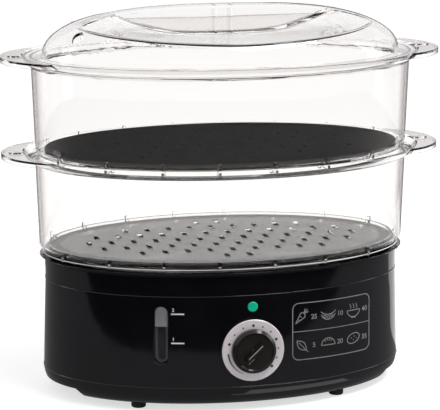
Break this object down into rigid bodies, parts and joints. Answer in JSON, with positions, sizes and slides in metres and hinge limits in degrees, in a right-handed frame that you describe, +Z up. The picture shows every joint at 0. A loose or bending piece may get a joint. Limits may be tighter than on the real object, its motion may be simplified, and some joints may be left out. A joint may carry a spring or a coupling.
{
  "type": "electric food steamer",
  "caption": "Oval countertop steamer: black base with water tank, mechanical timer and level window, clear stacking baskets with loose floors, clear domed lid.",
  "frame": {"origin": "on the table, under the middle of the stack", "axes": "+Z up, +X along the long side to the right as seen from the control side, -Y is the control side"},
  "size_m": [0.353, 0.215, 0.3069],
  "materials": {
    "black_gloss": "polished black",
    "black_matte": "fine moulded black",
    "black_floor": "smooth black",
    "clear_plastic": "clear, polished",
    "silver_dial": "spun",
    "lamp_green": "clear green",
    "lamp_glass": "clear",
    "float_grey": "light grey",
    "rubber": "matt",
    "steel": "plain"
  },
  "bodies": {
    "base": {"base_housing": "black_gloss", "bottom_cover": "black_matte", "base_screws": "steel", "reservoir": "black_gloss", "dial_ring": "silver_dial", "timer_body": "black_matte", "timer_bell": "steel", "timer_screws": "steel", "lamp_lens": "lamp_green", "lamp_neon": "lamp_glass", "sight_window": "clear_plastic", "float_chamber": "black_matte", "gauge_seal": "rubber", "heater_seal": "rubber", "heater_dish": "steel", "heater_element": "steel", "heater_bridge": "steel", "thermostat": "black_matte", "thermal_fuse": "steel", "terminal_block": "float_grey", "cord_gland": "rubber", "foot_1": "rubber", "foot_2": "rubber", "foot_3": "rubber", "foot_4": "rubber"},
    "timer_control": {"timer_knob": "black_gloss", "timer_shaft": "steel"},
    "float": {"level_float": "float_grey"},
    "ring": {"steam_ring": "black_matte"},
    "tray": {"drip_tray": "black_gloss"},
    "tier_1": {"lower_basket": "clear_plastic"},
    "tier_1_floor": {"lower_basket_floor": "clear_plastic"},
    "tier_2": {"upper_basket": "clear_plastic"},
    "tier_2_floor": {"upper_basket_floor": "black_floor"},
    "cover": {"lid": "clear_plastic"}
  },
  "joints": [
    {"name": "timer_turn", "type": "hinge", "parent": "base", "child": "timer_control", "pos_m": [0.0047, -0.1, 0.0489], "axis": [0, 1, 0], "range_deg": [0, 270]},
    {"name": "float_drop", "type": "slide", "parent": "base", "child": "float", "axis": [0, 0, 1], "range_m": [-0.024, 0]},
    {"name": "ring_lift", "type": "slide", "parent": "base", "child": "ring", "axis": [0, 0, 1], "range_m": [0, 0.012]},
    {"name": "tray_lift", "type": "slide", "parent": "base", "child": "tray", "axis": [0, 0, 1], "range_m": [0, 0.06]},
    {"name": "lower_basket_lift", "type": "slide", "parent": "tray", "child": "tier_1", "axis": [0, 0, 1], "range_m": [0, 0.09]},
    {"name": "lower_floor_lift", "type": "slide", "parent": "tier_1", "child": "tier_1_floor", "axis": [0, 0, 1], "range_m": [0, 0.055]},
    {"name": "upper_basket_lift", "type": "slide", "parent": "tier_1", "child": "tier_2", "axis": [0, 0, 1], "range_m": [0, 0.09]},
    {"name": "upper_floor_lift", "type": "slide", "parent": "tier_2", "child": "tier_2_floor", "axis": [0, 0, 1], "range_m": [0, 0.055]},
    {"name": "lid_lift", "type": "slide", "parent": "tier_2", "child": "cover", "axis": [0, 0, 1], "range_m": [0, 0.12]}
  ]
}
